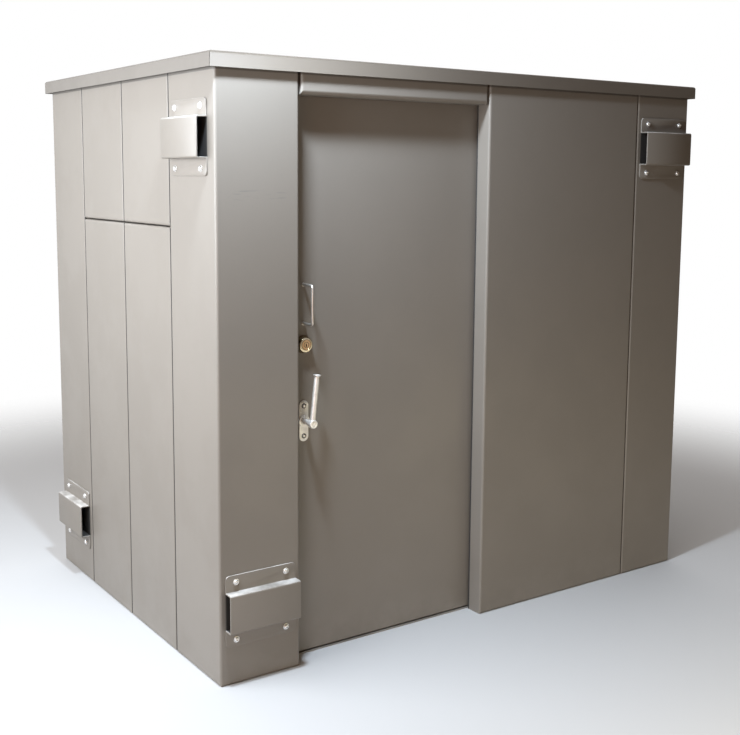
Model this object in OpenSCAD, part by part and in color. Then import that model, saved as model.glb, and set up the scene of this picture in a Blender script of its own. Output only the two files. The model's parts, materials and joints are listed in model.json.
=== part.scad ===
// Walk-in storm shelter of folded steel panels. The panels stand edge to edge
// on inward base flanges, a pan roof drops over their top flanges, and the
// door hangs behind the front wall and swings into the room.
// Millimetres, +Z up. The front wall faces -Y. The origin is on the ground
// under the middle of the building.

/* [Walls] */
// Width of the building over its side walls
body_w = 2090; // [1900:10:2600]
// Depth of the building over its front and rear walls
body_d = 1412; // [1300:10:1900]
// Height from the ground to the lower edge of the roof's rim
wall_h = 1905; // [1880:5:2200]
// Thickness of the folded sheet
sheet_t = 3.5; // [2.5:0.1:5]
// Depth of the edges that are folded into the room
return_d = 66; // [58:1:80]
// Outer radius of the folds along the panel edges
fold_r = 8; // [6:0.5:12]
// Outer radius of the fold at each corner of the building
corner_r = 8; // [6:0.5:20]
// Width of a corner panel along the front and rear walls
corner_w = 288; // [270:2:330]
// Width of a corner panel along the side walls
corner_d = 324; // [270:2:360]
// Height of the joint between lower and upper side panels
split_z = 1427; // [1200:5:1500]
// Open gap in that joint
split_gap = 4; // [2:0.5:6]

/* [Roof] */
// How far the roof stands out past the side walls
roof_lap_side = 22; // [12:1:40]
// How far the roof stands out past the front and rear walls
roof_lap_front = 16; // [12:1:40]
// Height of the roof's folded rim
rim_h = 46; // [40:1:70]
// Outer radius of the fold between roof sheet and rim
rim_r = 8; // [6:0.5:12]
// Open slit where two rims meet at a corner
slit_w = 2; // [1:0.5:4]

/* [Doorway] */
// Clear width of the doorway
door_w = 768; // [700:4:860]
// How far the header hangs below the lower edge of the roof's rim
header_drop = 65; // [50:1:100]
// Outer radius of the fold under the header
header_r = 14; // [10:0.5:20]
// Open gap between the header and the panel on each side of it
header_gap = 8; // [3:0.5:10]
// Height of the threshold bar
sill_h = 5; // [4.5:0.5:8]
// How far the threshold bar lies behind the folded edges
sill_back = 6; // [2:1:10]

/* [Door leaf] */
// How far the leaf laps behind the jambs and the header
leaf_lap = 25; // [20:1:35]
// Thickness of the folded leaf
leaf_t = 40; // [34:1:50]
// Clearance between the jambs and the face of the leaf
leaf_gap = 8; // [5:0.5:12]
// Clearance between the threshold and the leaf
leaf_lift = 6; // [5:1:10]
// Width of the lip folded in round the leaf's back
lip_w = 45; // [40:1:60]
// Height of a stiffening channel inside the leaf
rib_h = 50; // [40:1:70]
// Thickness of a stiffening channel
rib_t = 3; // [2:0.5:4]
// Heights of the stiffening channels above the leaf's lower edge
rib_at = [290, 590, 1300, 1590];
// Width of the hinge and strike posts
post_w = 40; // [35:1:50]
// Clearance between the leaf's hinged edge and the hinge post
hinge_gap = 5; // [5:0.5:8]
// Clearance between the leaf's free edge and the strike post
strike_gap = 8; // [8:0.5:12]

/* [Hinges] */
// Height of one hinge
hinge_h = 102; // [90:3:150]
// Distance from the leaf's ends to the middle of the end hinges
hinge_inset = 190; // [120:5:300]
// Width of a hinge plate measured from the pin
hinge_plate_w = 38; // [30:1:40]
// Thickness of a hinge plate
hinge_plate_t = 3; // [2.5:0.5:4]
// Outer radius of the hinge barrel
barrel_r = 7; // [6:0.5:9]
// Radius of the hinge pin
pin_r = 4; // [3:0.5:5]
// Running clearance round the pin and round the lever's spindle
pin_play = 0.05; // [0.02:0.01:0.1]
// Clearance between the hinge barrel and the leaf's back
barrel_gap = 1; // [0.5:0.1:2]
// Gap between the knuckles of a hinge
knuckle_gap = 0.5; // [0.3:0.1:1]

/* [Lever] */
// Distance from the leaf's free edge to the middle of the fittings
fitting_inset = 84; // [76:1:110]
// Height of the lever's spindle above the ground
lever_z = 798; // [700:5:900]
// Length of the lever from its spindle to its end
lever_len = 160; // [120:1:180]
// Radius of the lever's bar
lever_r = 9; // [7:0.5:11]
// How far the lever leans to the right of upright
lever_lean = 6.5; // [2:0.5:8]
// Radius of the boss at the foot of the lever
boss_r = 14; // [12:0.5:16]
// Length of the boss
boss_l = 22; // [20:1:26]
// Distance from the leaf's face to the outer end of the boss
lever_reach = 66; // [50:1:72]
// Radius of the spindle
spindle_r = 6; // [5:0.5:8]
// Radius of the neck between the boss and the plate
neck_r = 9; // [8.5:0.5:11]
// Clearance between the neck and the plate's hub
neck_gap = 0.3; // [0.2:0.1:1]
// Radius of the lever's flared end
cap_r = 12.5; // [11.5:0.5:14]
// Length of that flare
cap_t = 6; // [3:0.5:8]
// Height of the plate behind the lever
plate_h = 136; // [110:1:150]
// Width of that plate
plate_w = 34; // [30:1:40]
// Thickness of that plate
plate_t = 4; // [3:0.5:6]
// Radius of the raised hub on that plate
hub_r = 20; // [16:0.5:24]
// Height of the hub above the plate
hub_h = 4; // [2:0.5:10]

/* [Lock and pull] */
// Height of the lock cylinder above the ground
cylinder_z = 1051; // [1000:1:1080]
// Radius of the cylinder's tapered collar at its front
collar_r = 24; // [18:0.5:26]
// Radius of that collar where it meets the leaf
collar_foot_r = 30; // [26.5:0.5:32]
// Radius of the cylinder's face
face_r = 17; // [12:0.5:17]
// Distance that the collar stands out from the leaf
collar_l = 18; // [10:1:24]
// Further distance that the cylinder's face stands out
face_l = 2; // [1:0.5:6]
// Height of the key slot
key_h = 11; // [8:0.5:14]
// Width of the key slot
key_w = 2.5; // [2:0.5:4]
// Depth of the key slot
key_l = 3; // [2:0.5:8]
// Height of the middle of the pull handle above the ground
pull_z = 1182; // [1160:1:1300]
// Distance between the middles of the handle's two arms
pull_h = 126; // [100:1:160]
// Distance that the handle stands out from the leaf
pull_reach = 62; // [45:1:72]
// Radius of the handle's round bar
pull_r = 4.5; // [4:0.5:7]
// Radius of the handle's bends along the middle of the bar
pull_bend = 10; // [8:1:20]
// Width of the lock case inside the leaf
case_w = 80; // [60:1:90]
// How far the lock case runs past the lever and the cylinder
case_past = 60; // [40:1:75]
// Thickness of the lock case's folded sheet
case_t = 3; // [2:0.5:4]

/* [Vents] */
// Distance from the building's corner to the middle of a front or rear vent
vent_in_front = 144; // [141:1:150]
// Distance from the building's corner to the middle of a side vent
vent_in_side = 174; // [141:1:186]
// Width of a vent cover
cover_w = 252; // [220:1:254]
// Height of a vent cover over its flanges
cover_h = 232; // [210:1:240]
// Height of the raised middle of a cover
box_h = 126; // [100:1:140]
// Distance that a cover stands out from the wall
cover_out = 38; // [30:1:60]
// Thickness of a cover
cover_t = 4.5; // [2:0.5:5]
// Radius of the rounded corners of a cover's flanges
cover_corner_r = 15; // [5:1:20]
// Outer radius of the folds along the raised middle
box_r = 7; // [5.5:0.5:9]
// Height of the middle of the low vents above the ground
vent_low = 242; // [180:1:300]
// Distance from the lower edge of the roof's rim down to the middle of the high vents
vent_drop = 200; // [140:1:300]
// Width of the opening behind a cover
hole_w = 120; // [80:1:130]
// Height of the opening behind a cover
hole_h = 70; // [50:1:90]

/* [Anchors] */
// Radius of the anchor holes through the base flanges
anchor_r = 7; // [5:0.5:9]
// Distance from a wall's face to its anchor holes
anchor_inset = 34; // [28:1:40]

/* [Hidden] */
$fn = 48;
cut = 1;             // how far a cutting shape runs past the face it cuts
roof_z = wall_h + rim_h;
door_h = wall_h - header_drop;
vent_high = wall_h - vent_drop;
panel_h = roof_z - sheet_t;
front_w = body_w - 2 * corner_w - door_w;
rear_w = (body_w - 2 * corner_w) / 2;
side_w = (body_d - 2 * corner_d) / 2;
jamb_x = corner_w + door_w;
leaf_x = corner_w - leaf_lap;
leaf_y = return_d + leaf_gap;
leaf_z = sill_h + leaf_lift;
leaf_w = door_w + 2 * leaf_lap;
leaf_h = door_h + leaf_lap - leaf_z;
leaf_back = leaf_y + leaf_t;
leaf_room = leaf_t - 2 * sheet_t;
post_d = leaf_back - fold_r;
post_h = panel_h - 2 * sheet_t;
sill_y = return_d + sill_back;
strike_x = leaf_x - strike_gap;
hinge_post_x = leaf_x + leaf_w + hinge_gap;
hinge_x = hinge_post_x - hinge_gap / 2;
hinge_y = leaf_back + barrel_r + barrel_gap;
plate_start = barrel_r + barrel_gap;
knuckle_h = (hinge_h - 2 * knuckle_gap) / 3;
hinge_at = [leaf_z + hinge_inset, leaf_z + leaf_h / 2, leaf_z + leaf_h - hinge_inset];
fitting_x = leaf_x + fitting_inset;
case_back = leaf_back - sheet_t;
case_low = lever_z - plate_h / 2 - case_past / 2;
case_high = cylinder_z + case_past;
lever_front = leaf_y - lever_reach;
lever_rear = case_back + lever_reach;
neck_end = lever_reach - plate_t - hub_h - neck_gap;

// ---- frames: x runs left to right along a wall seen from outside, y runs in ----

module on_front() {
    translate([-body_w / 2, -body_d / 2, 0])
        children();
}

module on_right() {
    translate([body_w / 2, -body_d / 2, 0])
        rotate([0, 0, 90])
            children();
}

module on_rear() {
    translate([body_w / 2, body_d / 2, 0])
        rotate([0, 0, 180])
            children();
}

module on_left() {
    translate([-body_w / 2, body_d / 2, 0])
        rotate([0, 0, -90])
            children();
}

// ---- shared shapes ----

// What a fold of radius r takes off the square corner at the origin
module fold_cut(r) {
    difference() {
        translate([-cut, -cut])
            square([r + cut, r + cut]);
        translate([r, r])
            circle(r = r);
    }
}

// Section across a panel: length l along x, with a fold at each end
module section(l, depth, r0, r1) {
    difference() {
        square([l, depth]);
        fold_cut(r0);
        translate([l, 0])
            mirror([1, 0])
                fold_cut(r1);
    }
}

// The same section standing upright, run along x for a length l
module upright_run(l, h, depth, r_low, r_high) {
    rotate([90, 0, 90])
        linear_extrude(height = l)
            mirror([1, -1])
                section(h, depth, r_low, r_high);
}

// Solid block of a panel with all four edges folded back
module panel_block(l, h, depth, r_side, r_low, r_high) {
    intersection() {
        linear_extrude(height = h)
            section(l, depth, r_side, r_side);
        upright_run(l, h, depth, r_low, r_high);
    }
}

// Folded panel: a sheet with returns on all four edges
module panel(l, h, r_low) {
    difference() {
        panel_block(l, h, return_d, fold_r, r_low, fold_r);
        translate([sheet_t, sheet_t, sheet_t])
            panel_block(l - 2 * sheet_t, h - 2 * sheet_t, return_d,
                fold_r - sheet_t, r_low - sheet_t, fold_r - sheet_t);
    }
}

module anchor_hole(x) {
    translate([x, anchor_inset, -cut])
        cylinder(r = anchor_r, h = sheet_t + 2 * cut);
}

// Panel that stands on the ground, with one anchor hole in its base flange
module ground_panel(l, h) {
    difference() {
        panel(l, h, fold_r);
        anchor_hole(l / 2);
    }
}

// L-shaped section of a corner panel, inset evenly by t
module corner_section(t) {
    w = corner_w - 2 * t;
    d = corner_d - 2 * t;
    difference() {
        union() {
            square([w, return_d]);
            square([return_d, d]);
        }
        fold_cut(corner_r - t);
        translate([w, 0])
            mirror([1, 0])
                fold_cut(fold_r - t);
        translate([0, d])
            mirror([0, 1])
                fold_cut(fold_r - t);
    }
}

// Block of a corner panel with its base and top folds, inset evenly by t
module corner_block(t) {
    h = panel_h - 2 * t;
    intersection() {
        linear_extrude(height = h)
            corner_section(t);
        upright_run(corner_w, h, corner_d, fold_r - t, fold_r - t);
        mirror([1, -1, 0])
            upright_run(corner_d, h, corner_w, fold_r - t, fold_r - t);
    }
}

module vent_hole(z) {
    translate([-hole_w / 2, -cut, z - hole_h / 2])
        cube([hole_w, sheet_t + 2 * cut, hole_h]);
}

// Corner panel with vents at heights front_z and side_z
module corner_panel(front_z, side_z) {
    difference() {
        corner_block(0);
        translate([sheet_t, sheet_t, sheet_t])
            corner_block(sheet_t);
        translate([vent_in_front, 0, 0])
            vent_hole(front_z);
        translate([0, vent_in_side, 0])
            mirror([1, -1, 0])
                vent_hole(side_z);
        anchor_hole(corner_w / 2);
        mirror([1, -1, 0])
            anchor_hole(corner_d / 2);
    }
}

// ---- walls ----

module corner_front_left() {
    color([0.60, 0.61, 0.60])
        on_front()
            corner_panel(vent_low, vent_high);
}

module corner_front_right() {
    color([0.60, 0.61, 0.60])
        on_front()
            translate([body_w, 0, 0])
                mirror([1, 0, 0])
                    corner_panel(vent_high, vent_low);
}

module corner_rear_right() {
    color([0.60, 0.61, 0.60])
        on_rear()
            corner_panel(vent_low, vent_high);
}

module corner_rear_left() {
    color([0.60, 0.61, 0.60])
        on_rear()
            translate([body_w, 0, 0])
                mirror([1, 0, 0])
                    corner_panel(vent_high, vent_low);
}

module front_panel() {
    color([0.56, 0.56, 0.55])
        on_front()
            translate([jamb_x, 0, 0])
                ground_panel(front_w, panel_h);
}

module door_header() {
    color([0.56, 0.56, 0.55])
        on_front()
            translate([corner_w + header_gap, 0, door_h])
                panel(door_w - 2 * header_gap, panel_h - door_h, header_r);
}

module door_sill() {
    color([0.50, 0.50, 0.49])
        on_front()
            translate([strike_x, sill_y, 0])
                cube([hinge_post_x - strike_x, leaf_back - sill_y, sill_h]);
}

module rear_panel_right() {
    color([0.56, 0.56, 0.55])
        on_rear()
            translate([corner_w, 0, 0])
                ground_panel(rear_w, panel_h);
}

module rear_panel_left() {
    color([0.56, 0.56, 0.55])
        on_rear()
            translate([corner_w + rear_w, 0, 0])
                ground_panel(rear_w, panel_h);
}

// Lower and upper side panels: bay 0 is on the left seen from outside
module side_lower(bay) {
    color([0.66, 0.65, 0.63])
        translate([corner_d + bay * side_w, 0, 0])
            ground_panel(side_w, split_z - split_gap / 2);
}

module side_upper(bay) {
    z = split_z + split_gap / 2;
    color([0.66, 0.65, 0.63])
        translate([corner_d + bay * side_w, 0, z])
            panel(side_w, panel_h - z, fold_r);
}

module left_lower_rear() {
    on_left() side_lower(0);
}

module left_lower_front() {
    on_left() side_lower(1);
}

module left_upper_rear() {
    on_left() side_upper(0);
}

module left_upper_front() {
    on_left() side_upper(1);
}

module right_lower_front() {
    on_right() side_lower(0);
}

module right_lower_rear() {
    on_right() side_lower(1);
}

module right_upper_front() {
    on_right() side_upper(0);
}

module right_upper_rear() {
    on_right() side_upper(1);
}

// ---- roof ----

// Rim of one side, l long: the fold and the plate that hangs from it
module rim(l) {
    intersection() {
        translate([0, 0, wall_h])
            difference() {
                upright_run(l, rim_h, rim_r, 0, rim_r);
                translate([-cut, sheet_t, -sheet_t])
                    upright_run(l + 2 * cut, rim_h, rim_r, 0, rim_r - sheet_t);
            }
        linear_extrude(height = roof_z)
            polygon([[slit_w / 2, 0], [l - slit_w / 2, 0],
                [l - slit_w / 2 - rim_r, rim_r], [slit_w / 2 + rim_r, rim_r]]);
    }
}

module roof_cap() {
    roof_w = body_w + 2 * roof_lap_side;
    roof_d = body_d + 2 * roof_lap_front;
    color([0.63, 0.63, 0.62])
        union() {
            translate([rim_r - roof_w / 2, rim_r - roof_d / 2, panel_h])
                cube([roof_w - 2 * rim_r, roof_d - 2 * rim_r, sheet_t]);
            for (turn = [0, 180])
                rotate([0, 0, turn])
                    translate([-roof_w / 2, -roof_d / 2, 0])
                        rim(roof_w);
            for (turn = [90, 270])
                rotate([0, 0, turn])
                    translate([-roof_d / 2, -roof_w / 2, 0])
                        rim(roof_d);
        }
}

// ---- vents ----

// Section through a cover: x runs out from the wall, y runs up
module cover_section() {
    difference() {
        union() {
            translate([0, -cover_h / 2])
                square([cover_t, cover_h]);
            translate([cover_out, -box_h / 2])
                mirror([1, -1])
                    mirror([0, 1])
                        section(box_h, cover_out, box_r, box_r);
        }
        translate([cover_out - cover_t, cover_t - box_h / 2])
            mirror([1, -1])
                mirror([0, 1])
                    section(box_h - 2 * cover_t, cover_out, box_r - cover_t, box_r - cover_t);
    }
}

// Cover with its middle at the origin, standing out towards -y
module vent_cover() {
    color([0.62, 0.62, 0.60])
        intersection() {
            translate([-cover_w / 2, 0, 0])
                rotate([90, 0, 90])
                    linear_extrude(height = cover_w)
                        mirror([1, 0])
                            cover_section();
            rotate([90, 0, 0])
                linear_extrude(height = cover_out)
                    difference() {
                        translate([-cover_w / 2, -cover_h / 2])
                            square([cover_w, cover_h]);
                        for (sx = [0, 1], sz = [0, 1])
                            mirror([sx, 0])
                                mirror([0, sz])
                                    translate([-cover_w / 2, -cover_h / 2])
                                        fold_cut(cover_corner_r);
                    }
        }
}

module vent_front_low() {
    on_front() translate([vent_in_front, 0, vent_low]) vent_cover();
}

module vent_front_high() {
    on_front() translate([body_w - vent_in_front, 0, vent_high]) vent_cover();
}

module vent_right_low() {
    on_right() translate([vent_in_side, 0, vent_low]) vent_cover();
}

module vent_right_high() {
    on_right() translate([body_d - vent_in_side, 0, vent_high]) vent_cover();
}

module vent_rear_low() {
    on_rear() translate([vent_in_front, 0, vent_low]) vent_cover();
}

module vent_rear_high() {
    on_rear() translate([body_w - vent_in_front, 0, vent_high]) vent_cover();
}

module vent_left_low() {
    on_left() translate([vent_in_side, 0, vent_low]) vent_cover();
}

module vent_left_high() {
    on_left() translate([body_d - vent_in_side, 0, vent_high]) vent_cover();
}

// ---- door frame ----

module post() {
    difference() {
        cube([post_w, post_d, post_h]);
        translate([sheet_t, sheet_t, -cut])
            cube([post_w - 2 * sheet_t, post_d - 2 * sheet_t, post_h + 2 * cut]);
    }
}

module hinge_post() {
    color([0.50, 0.50, 0.49])
        on_front()
            translate([hinge_post_x, fold_r, sheet_t])
                post();
}

module strike_post() {
    color([0.50, 0.50, 0.49])
        on_front()
            translate([strike_x - post_w, fold_r, sheet_t])
                post();
}

// Half of a hinge that points along +x from its pin, with its knuckles at heights zs
module hinge_half(zs) {
    plate_y = leaf_back - hinge_y;
    translate([plate_start, plate_y, 0])
        cube([hinge_plate_w - plate_start, hinge_plate_t, hinge_h]);
    for (z = zs) {
        translate([0, plate_y, z])
            cube([plate_start, hinge_plate_t, knuckle_h]);
        translate([0, 0, z])
            cylinder(r = barrel_r, h = knuckle_h);
    }
}

module hinge_frame_plates() {
    color([0.45, 0.45, 0.44])
        on_front()
            for (z = hinge_at)
                translate([hinge_x, hinge_y, z - hinge_h / 2]) {
                    hinge_half([0, hinge_h - knuckle_h]);
                    cylinder(r = pin_r, h = hinge_h);
                }
}

module hinge_door_plates() {
    color([0.45, 0.45, 0.44])
        on_front()
            for (z = hinge_at)
                translate([hinge_x, hinge_y, z - hinge_h / 2])
                    mirror([1, 0, 0])
                        difference() {
                            hinge_half([knuckle_h + knuckle_gap]);
                            translate([0, 0, -cut])
                                cylinder(r = pin_r + pin_play, h = hinge_h + 2 * cut);
                        }
}

// ---- door ----

module spindle_hole(y, l) {
    translate([fitting_x, y - cut, lever_z])
        rotate([-90, 0, 0])
            cylinder(r = spindle_r + pin_play, h = l + 2 * cut);
}

module door_leaf() {
    color([0.46, 0.46, 0.45])
        on_front()
            difference() {
                translate([leaf_x, leaf_y, leaf_z])
                    cube([leaf_w, leaf_t, leaf_h]);
                translate([leaf_x + sheet_t, leaf_y + sheet_t, leaf_z + sheet_t])
                    cube([leaf_w - 2 * sheet_t, leaf_room, leaf_h - 2 * sheet_t]);
                translate([leaf_x + lip_w, case_back - cut, leaf_z + lip_w])
                    cube([leaf_w - 2 * lip_w, sheet_t + 2 * cut, leaf_h - 2 * lip_w]);
                spindle_hole(leaf_y, sheet_t);
            }
}

module door_ribs() {
    rib_l = leaf_w - 2 * sheet_t;
    color([0.45, 0.45, 0.44])
        on_front()
            for (z = rib_at)
                translate([leaf_x + sheet_t, leaf_y + sheet_t, leaf_z + z])
                    difference() {
                        cube([rib_l, leaf_room, rib_h]);
                        translate([-cut, rib_t, rib_t])
                            cube([rib_l + 2 * cut, leaf_room, rib_h - 2 * rib_t]);
                    }
}

// Folded box, open towards the leaf's face
module lock_case() {
    case_h = case_high - case_low;
    color([0.50, 0.50, 0.49])
        on_front()
            difference() {
                translate([fitting_x - case_w / 2, leaf_y + sheet_t, case_low]) {
                    difference() {
                        cube([case_w, leaf_room, case_h]);
                        translate([case_t, -cut, case_t])
                            cube([case_w - 2 * case_t, leaf_room - case_t + cut, case_h - 2 * case_t]);
                    }
                }
                spindle_hole(case_back - case_t, case_t);
            }
}

// Bar bent into a D, standing out towards -y, with its middle at the origin
module pull_handle() {
    arm_l = pull_reach - pull_r - pull_bend;
    color([0.62, 0.61, 0.59])
        on_front()
            translate([fitting_x, leaf_y, pull_z]) {
                for (side = [0, 1])
                    mirror([0, 0, side])
                        translate([0, 0, pull_h / 2]) {
                            rotate([90, 0, 0])
                                cylinder(r = pull_r, h = arm_l);
                            translate([0, -arm_l, -pull_bend])
                                rotate([0, -90, 0])
                                    rotate([0, 0, -90])
                                        rotate_extrude(angle = 90)
                                            translate([pull_bend, 0])
                                                circle(r = pull_r);
                        }
                translate([0, pull_r - pull_reach, pull_bend - pull_h / 2])
                    cylinder(r = pull_r, h = pull_h - 2 * pull_bend);
            }
}

module lock_cylinder() {
    color([0.78, 0.62, 0.36])
        on_front()
            translate([fitting_x, leaf_y, cylinder_z])
                rotate([90, 0, 0])
                    difference() {
                        union() {
                            cylinder(r1 = collar_foot_r, r2 = collar_r, h = collar_l);
                            cylinder(r = face_r, h = collar_l + face_l);
                        }
                        translate([-key_w / 2, -key_h / 2, collar_l + face_l - key_l])
                            cube([key_w, key_h, key_l + cut]);
                    }
}

// Round-ended plate with a raised hub, standing out towards -y
module round_plate() {
    rotate([90, 0, 0])
        difference() {
            union() {
                translate([-plate_w / 2, plate_w / 2 - plate_h / 2, 0])
                    cube([plate_w, plate_h - plate_w, plate_t]);
                for (end = [-1, 1])
                    translate([0, end * (plate_h - plate_w) / 2, 0])
                        cylinder(r = plate_w / 2, h = plate_t);
                cylinder(r = hub_r, h = plate_t + hub_h);
            }
            translate([0, 0, -cut])
                cylinder(r = spindle_r + pin_play, h = plate_t + hub_h + 2 * cut);
        }
}

module lever_plate() {
    color([0.72, 0.70, 0.66])
        on_front()
            translate([fitting_x, leaf_y, lever_z])
                round_plate();
}

module inner_lever_plate() {
    color([0.72, 0.70, 0.66])
        on_front()
            translate([fitting_x, case_back, lever_z])
                mirror([0, 1, 0])
                    round_plate();
}

// ---- lever, one piece outside and one in the room on the same spindle ----

// Boss, neck and bar, with boss and neck running inwards from the origin
module lever_bar() {
    rotate([-90, 0, 0]) {
        cylinder(r = boss_r, h = boss_l);
        cylinder(r = neck_r, h = neck_end);
    }
    translate([0, boss_l / 2, 0])
        rotate([0, lever_lean, 0]) {
            cylinder(r = lever_r, h = lever_len - cap_t);
            translate([0, 0, lever_len - cap_t])
                cylinder(r1 = lever_r, r2 = cap_r, h = cap_t);
        }
}

module lever_handle() {
    spindle_l = lever_rear - neck_end - lever_front - boss_l;
    color([0.74, 0.72, 0.68])
        on_front()
            translate([fitting_x, lever_front, lever_z]) {
                lever_bar();
                translate([0, boss_l, 0])
                    rotate([-90, 0, 0])
                        cylinder(r = spindle_r, h = spindle_l);
            }
}

module inner_lever() {
    color([0.74, 0.72, 0.68])
        on_front()
            translate([fitting_x, lever_rear, lever_z])
                mirror([0, 1, 0])
                    lever_bar();
}

corner_front_left();
corner_front_right();
corner_rear_left();
corner_rear_right();
front_panel();
door_header();
door_sill();
rear_panel_left();
rear_panel_right();
left_lower_front();
left_lower_rear();
left_upper_front();
left_upper_rear();
right_lower_front();
right_lower_rear();
right_upper_front();
right_upper_rear();
roof_cap();
vent_front_low();
vent_front_high();
vent_right_low();
vent_right_high();
vent_rear_low();
vent_rear_high();
vent_left_low();
vent_left_high();
hinge_post();
strike_post();
hinge_frame_plates();
door_leaf();
door_ribs();
lock_case();
hinge_door_plates();
pull_handle();
lock_cylinder();
lever_plate();
inner_lever_plate();
lever_handle();
inner_lever();
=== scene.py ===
import json
import math

import bmesh
import bpy
from mathutils import Matrix, Vector


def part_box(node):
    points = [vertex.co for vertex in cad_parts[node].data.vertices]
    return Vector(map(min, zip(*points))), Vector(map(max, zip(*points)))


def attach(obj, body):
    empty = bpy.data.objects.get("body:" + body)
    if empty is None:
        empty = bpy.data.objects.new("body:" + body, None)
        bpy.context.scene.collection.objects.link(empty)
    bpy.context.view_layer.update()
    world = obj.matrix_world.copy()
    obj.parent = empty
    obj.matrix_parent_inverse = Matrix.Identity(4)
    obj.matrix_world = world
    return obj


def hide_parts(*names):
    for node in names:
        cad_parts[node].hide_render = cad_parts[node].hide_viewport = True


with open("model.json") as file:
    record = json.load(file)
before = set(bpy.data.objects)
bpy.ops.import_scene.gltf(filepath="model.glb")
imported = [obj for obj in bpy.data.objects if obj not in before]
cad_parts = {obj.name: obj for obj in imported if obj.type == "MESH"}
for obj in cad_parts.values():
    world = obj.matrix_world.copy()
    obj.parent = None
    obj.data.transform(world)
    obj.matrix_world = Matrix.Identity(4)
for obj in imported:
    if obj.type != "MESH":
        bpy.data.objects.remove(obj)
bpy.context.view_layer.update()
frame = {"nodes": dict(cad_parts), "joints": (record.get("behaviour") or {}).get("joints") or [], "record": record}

mergeGap = 0.00001
edgeSlack = 1e-5
levelFace = 0.99
cadNodes = frame["nodes"]
print("frame loaded:", len(cadNodes), "nodes")


def clearSelection():
    if bpy.context.mode != "OBJECT":
        bpy.ops.object.mode_set(mode="OBJECT")
    bpy.ops.object.select_all(action="DESELECT")


def choose(piece):
    clearSelection()
    piece.select_set(True)
    bpy.context.view_layer.objects.active = piece


def startEditing(piece):
    choose(piece)
    bpy.ops.object.mode_set(mode="EDIT")


def pick(kind, test):
    # selects faces, edges or vertices of the piece in edit mode by their place or normal
    bpy.ops.mesh.select_mode(type=kind)
    bpy.ops.mesh.select_all(action="DESELECT")
    mesh = bpy.context.object.data
    shape = bmesh.from_edit_mesh(mesh)
    items = {"FACE": shape.faces, "EDGE": shape.edges, "VERT": shape.verts}[kind]
    for item in items:
        item.select_set(bool(test(item)))
    bmesh.update_edit_mesh(mesh)


def isTop(face):
    return face.normal.z > levelFace


def insetFaces(test, *steps):
    # each step is an inset and a depth
    pick("FACE", test)
    for thickness, depth in steps:
        bpy.ops.mesh.inset(thickness=thickness, depth=depth)


def bevelEdges(test, offset, segments):
    pick("EDGE", lambda e: all(test(v.co) for v in e.verts))
    bpy.ops.mesh.bevel(offset=offset, segments=segments, profile=0.5, affect="EDGES")


def stopEditing():
    bpy.ops.object.mode_set(mode="OBJECT")


def settle(piece):
    # puts the piece's place, turn and scale into its mesh
    choose(piece)
    bpy.ops.object.transform_apply(location=True, rotation=True, scale=True)
    return piece


def joinPieces(parts, name):
    clearSelection()
    for part in parts:
        part.select_set(True)
    bpy.context.view_layer.objects.active = parts[0]
    if len(parts) > 1:
        bpy.ops.object.join()
    parts[0].name = name
    parts[0].data.name = name
    return parts[0]


def smooth(piece, degrees=35):
    choose(piece)
    bpy.ops.object.shade_smooth_by_angle(angle=math.radians(degrees))


def addCylinder(radius, depth, place, turn=(0, 0, 0), sides=32):
    clearSelection()
    bpy.ops.mesh.primitive_cylinder_add(
        vertices=sides, radius=radius, depth=depth, location=place, rotation=turn)
    return settle(bpy.context.object)


def addDisc(radius, height, base=0, sides=28):
    # an upright cylinder on the Z axis, from its base up
    return addCylinder(radius, height, (0, 0, base + height / 2), sides=sides)


def addCone(radius1, radius2, depth, place, turn=(0, 0, 0), sides=32):
    clearSelection()
    bpy.ops.mesh.primitive_cone_add(
        vertices=sides, radius1=radius1, radius2=radius2, depth=depth, location=place, rotation=turn)
    return settle(bpy.context.object)


def addBlock(size, place, turn=(0, 0, 0)):
    clearSelection()
    bpy.ops.mesh.primitive_cube_add(size=1, location=place, rotation=turn, scale=size)
    return settle(bpy.context.object)


def addObject(name, data):
    piece = bpy.data.objects.new(name, data)
    bpy.context.scene.collection.objects.link(piece)
    return piece


def copyPiece(source, name, matrix=Matrix()):
    copy = addObject(name, source.data.copy())
    copy.data.name = name
    copy.data.transform(matrix)
    if matrix.determinant() < 0:
        startEditing(copy)
        pick("FACE", lambda f: True)
        bpy.ops.mesh.flip_normals()
        stopEditing()
    return copy


def useModifier(piece, kind, **values):
    choose(piece)
    modifier = piece.modifiers.new(kind.lower(), kind)
    for key, value in values.items():
        setattr(modifier, key, value)
    bpy.ops.object.modifier_apply(modifier=modifier.name)


def roundEdges(piece, width, segments=2, degrees=50):
    useModifier(piece, "BEVEL", width=width, segments=segments, limit_method="ANGLE",
                angle_limit=math.radians(degrees))


def cutAway(piece, cutter):
    useModifier(piece, "BOOLEAN", object=cutter, operation="DIFFERENCE", solver="EXACT")
    bpy.data.objects.remove(cutter)


def dress(piece, material, body):
    piece.data.materials.clear()
    piece.data.materials.append(material)
    for face in piece.data.polygons:
        face.material_index = 0
    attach(piece, body)


# camera and studio

cameraLook = {
    "place": (-2.5334, -3.6635, 1.5949),
    "turn": 34.716,      # degrees to the right of straight ahead
    "tilt": -7.437,      # degrees above level
    "roll": 0.4125,
    "lens": 53.725,
    "shiftX": -0.0009,
    "shiftY": -0.0649,
}

studioLook = {
    "floorSize": 60,
    "fadeFrom": 2.1,     # metres from the middle, where the floor starts to fade into the backdrop
    "fadeTo": 4.2,
    "floorColor": (0.50, 0.49, 0.48, 1),
    "floorRough": 0.9,
    "floorShine": 0.1,
    "backdrop": (1.0, 1.0, 1.0, 1),
    "brightColor": (0.985, 1.0, 1.03, 1),
    "dimColor": (0.060, 0.038, 0.024, 1),
    "brightSide": (-0.5, 0.86, 0.0),    # the half of the room that is bright
    "dimEdge": -0.25,
    "brightEdge": 0.05,
}

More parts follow.
